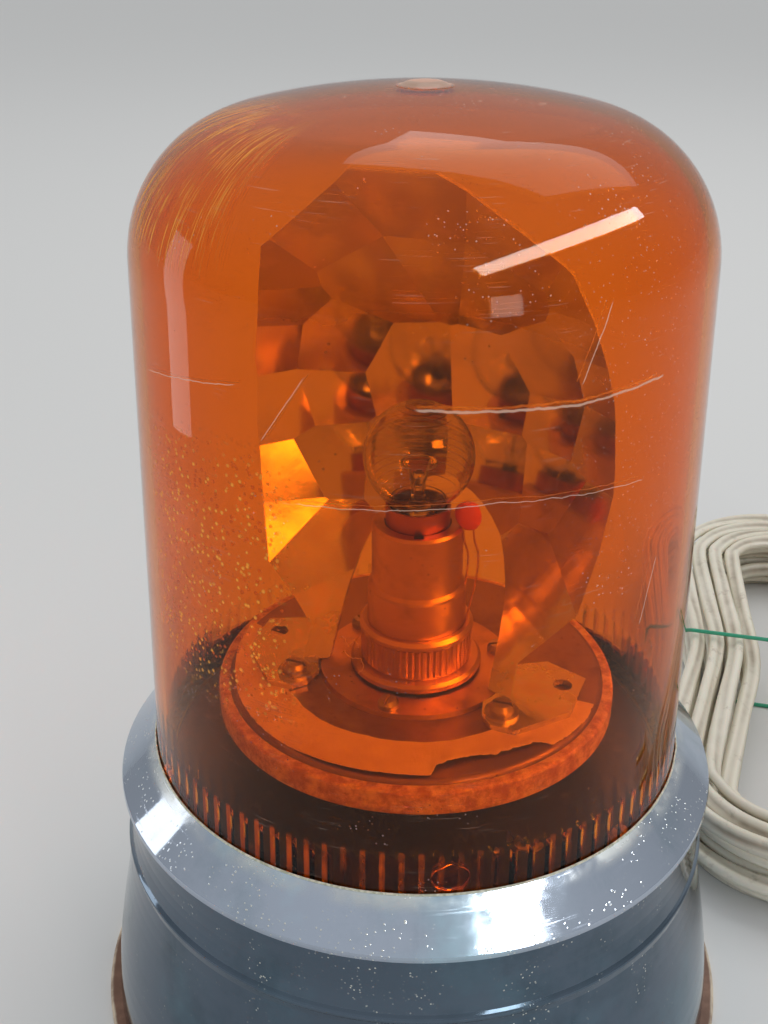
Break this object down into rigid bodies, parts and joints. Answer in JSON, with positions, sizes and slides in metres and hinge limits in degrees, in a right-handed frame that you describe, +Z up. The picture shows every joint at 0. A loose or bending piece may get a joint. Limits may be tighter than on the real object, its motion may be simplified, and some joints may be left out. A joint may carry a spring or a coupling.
{
  "type": "rotating beacon light",
  "caption": "Amber-domed rotating beacon: a motor-driven turntable carries a faceted mirror round a fixed bulb, on a chromed flared base with its flex.",
  "frame": {"origin": "centre of the base mat's underside", "axes": "+Z up along the dome's axis, front to -Y, +X to the right as pictured"},
  "size_m": [0.3035, 0.3339, 0.2545],
  "materials": {
    "mat_rubber": "brown rubber with a pale worn edge",
    "chrome": "aged chrome plate with cloudy stains",
    "plain_steel": "zinc plated steel",
    "screw_steel": "passivated screws and nuts",
    "black_paint": "black enamel on steel",
    "black_rubber": "black rubber",
    "seal_rubber": "hardened pale green rubber",
    "ring_rubber": "tan rubber",
    "brass": "dulled brass",
    "bronze": "sintered bronze",
    "bakelite": "brown phenolic",
    "cream_plastic": "cream plastic",
    "cord_vinyl": "ivory vinyl insulation, soiled",
    "wire_vinyl": "red vinyl insulation",
    "tie_vinyl": "green vinyl covered wire",
    "clear_glass": "clear bulb glass",
    "filament_wire": "tungsten and nickel wire",
    "motor_steel": "drawn steel can",
    "black_plastic": "black moulding",
    "yellow_film": "wrapped film capacitor",
    "disc_metal": "bright plated turntable",
    "mirror": "vacuum plated faceted mirror",
    "paper": "plain torn paper",
    "amber": "scratched transparent amber acrylic",
    "pin_brass": "nickel plated brass"
  },
  "bodies": {
    "base": {"base_mat": "mat_rubber", "base_plate": "plain_steel", "body_shell": "chrome", "pillars": "plain_steel", "pillar_screws": "screw_steel", "chassis_plate": "black_paint", "ledge_screws": "screw_steel", "ledge_nuts": "screw_steel", "spindle": "plain_steel", "spindle_washer": "plain_steel", "spindle_nut": "brass", "thrust_washer": "bronze", "holder_base": "brass", "holder_collar": "brass", "holder_tube": "brass", "contact_insulator": "bakelite", "contact_springs": "plain_steel", "bulb_cap": "brass", "bulb_glass": "clear_glass", "bulb_stem": "clear_glass", "filament": "filament_wire", "motor_can": "motor_steel", "motor_cap": "black_plastic", "motor_bracket": "plain_steel", "motor_screws": "screw_steel", "shaft_bearing": "bronze", "terminal_block": "cream_plastic", "terminal_screws": "brass", "capacitor": "yellow_film", "wiring": "wire_vinyl", "cable_gland": "black_rubber", "cord_clamp": "plain_steel", "inner_flex": "cord_vinyl", "dome_seal": "seal_rubber", "cord_lead": "cord_vinyl", "cord_hank": "cord_vinyl", "cord_tail": "cord_vinyl", "cord_tie": "tie_vinyl", "plug_body": "cord_vinyl", "plug_pins": "pin_brass"},
    "turntable": {"turntable_disc": "disc_metal", "turntable_hub": "brass", "hub_screws": "screw_steel", "turntable_bush": "bronze", "friction_ring": "ring_rubber", "reflector": "mirror", "reflector_screws": "screw_steel", "reflector_nuts": "screw_steel", "label_ring": "paper"},
    "rotor": {"motor_shaft": "plain_steel", "drive_roller": "black_rubber"},
    "dome": {"dome": "amber"},
    "bezel": {"bezel_ring": "chrome"},
    "contacts": {"contact_plungers": "brass"}
  },
  "joints": [
    {"name": "turntable_spin", "type": "hinge", "parent": "base", "child": "turntable", "pos_m": [0, 0, 0.105], "axis": [0, 0, 1], "continuous": true},
    {"name": "motor_spin", "type": "hinge", "parent": "base", "child": "rotor", "pos_m": [-0.02704, 0.05086, 0.09], "axis": [0, 0, 1], "continuous": true},
    {"name": "dome_lift", "type": "slide", "parent": "base", "child": "dome", "axis": [0, 0, 1], "range_m": [0, 0.19]},
    {"name": "bezel_lift", "type": "slide", "parent": "dome", "child": "bezel", "axis": [0, 0, 1], "range_m": [0, 0.19]},
    {"name": "contact_press", "type": "slide", "parent": "base", "child": "contacts", "axis": [0, 0, 1], "range_m": [-0.0025, 0], "stiffness_N_per_m": 400, "springref_m": 0.003, "deforming": ["contact_springs"]}
  ],
  "couplings": [
    {"joint": "motor_spin", "follows": "turntable_spin", "ratio": -11.733}
  ]
}
